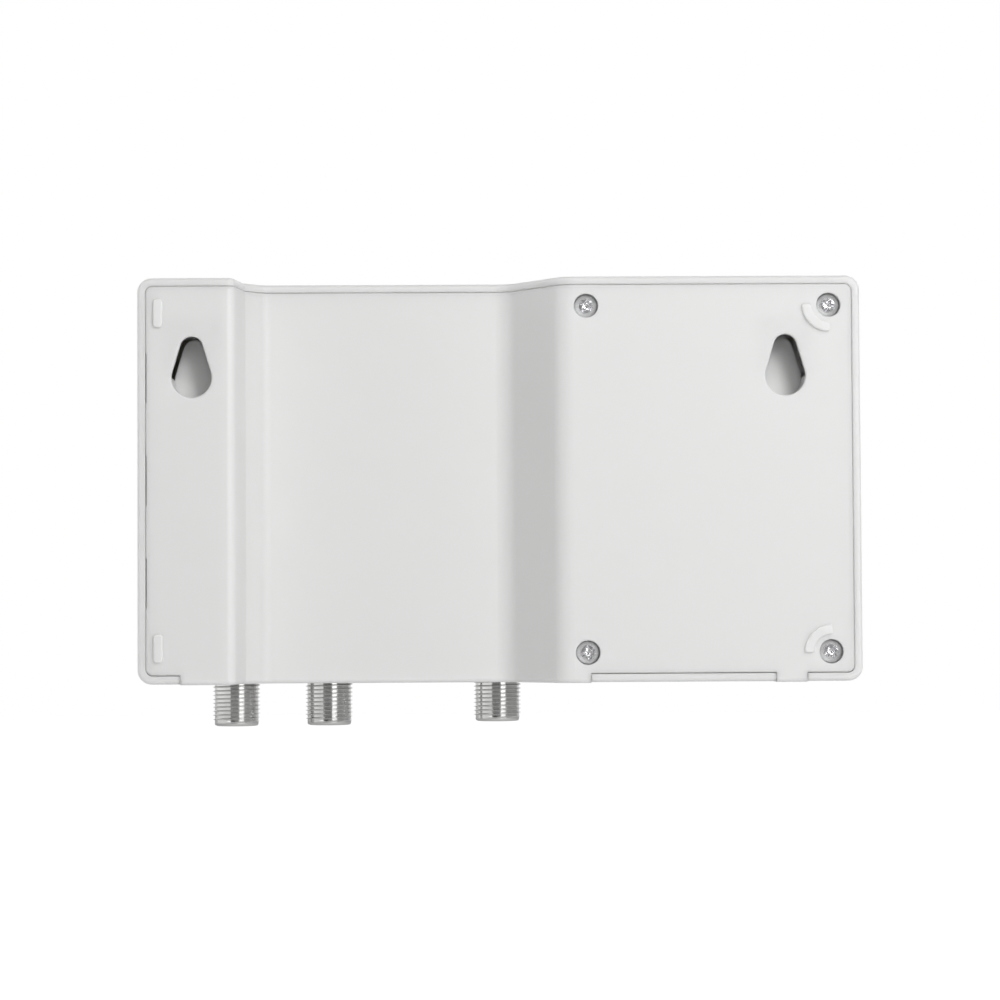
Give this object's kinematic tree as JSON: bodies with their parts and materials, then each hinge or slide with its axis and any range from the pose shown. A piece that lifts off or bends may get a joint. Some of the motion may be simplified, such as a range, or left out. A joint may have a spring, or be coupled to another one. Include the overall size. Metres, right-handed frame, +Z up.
{
  "type": "television signal amplifier",
  "caption": "White wall-hung aerial amplifier box with a stepped back, keyholes, threaded coaxial sockets, power inlet and gain dial.",
  "frame": {"origin": "on the wall, halfway between the two screws that the amplifier hangs on", "axes": "+X to the right as seen from the wall side, +Y from the wall into the room, +Z up; the sockets point down"},
  "size_m": [0.14, 0.0364, 0.0874],
  "materials": {
    "white_casing": "fine spark-eroded texture, satin white ABS",
    "zinc_screw": "bright zinc plate",
    "nickel": "nickel plate",
    "socket_insulator": "natural polyethylene",
    "spring_bronze": "tinned phosphor bronze",
    "board_laminate": "pale paper laminate",
    "black_moulding": "black glass-filled nylon",
    "steel_shaft": "turned steel",
    "grey_dial": "satin grey ABS",
    "lamp_resin": "pale lamp resin",
    "clear_guide": "clear acrylic",
    "tinplate": "tinned steel sheet",
    "chip_epoxy": "moulded epoxy",
    "copper_wire": "enamelled copper wire",
    "ferrite": "sintered ferrite",
    "ceramic": "fired ceramic",
    "capacitor_sleeve": "shrunk sleeve"
  },
  "bodies": {
    "root": {"aerial_input_barrel": "nickel", "aerial_input_contact": "spring_bronze", "aerial_input_insulator": "socket_insulator", "amplifier_chips": "chip_epoxy", "board_screws": "zinc_screw", "ceramic_chips": "ceramic", "choke_core": "ferrite", "choke_winding": "copper_wire", "circuit_board": "board_laminate", "cover_screws": "zinc_screw", "filter_coils": "copper_wire", "first_output_barrel": "nickel", "first_output_contact": "spring_bronze", "first_output_insulator": "socket_insulator", "front_casing": "white_casing", "gain_pot_body": "black_moulding", "indicator_lamp": "lamp_resin", "light_guide": "clear_guide", "power_inlet_body": "black_moulding", "power_inlet_pin": "nickel", "power_inlet_spring": "spring_bronze", "rear_cover": "white_casing", "screen_fence": "tinplate", "screen_lid": "tinplate", "second_output_barrel": "nickel", "second_output_contact": "spring_bronze", "second_output_insulator": "socket_insulator", "smoothing_capacitors": "capacitor_sleeve", "splitter_core": "ferrite", "voltage_regulator": "chip_epoxy"},
    "gain_control": {"gain_dial": "grey_dial", "gain_shaft": "steel_shaft"}
  },
  "joints": [
    {"name": "gain_turn", "type": "hinge", "parent": "root", "child": "gain_control", "pos_m": [0.036, 0.035, -0.04395], "axis": [0, 1, 0], "range_deg": [-140, 140]}
  ]
}
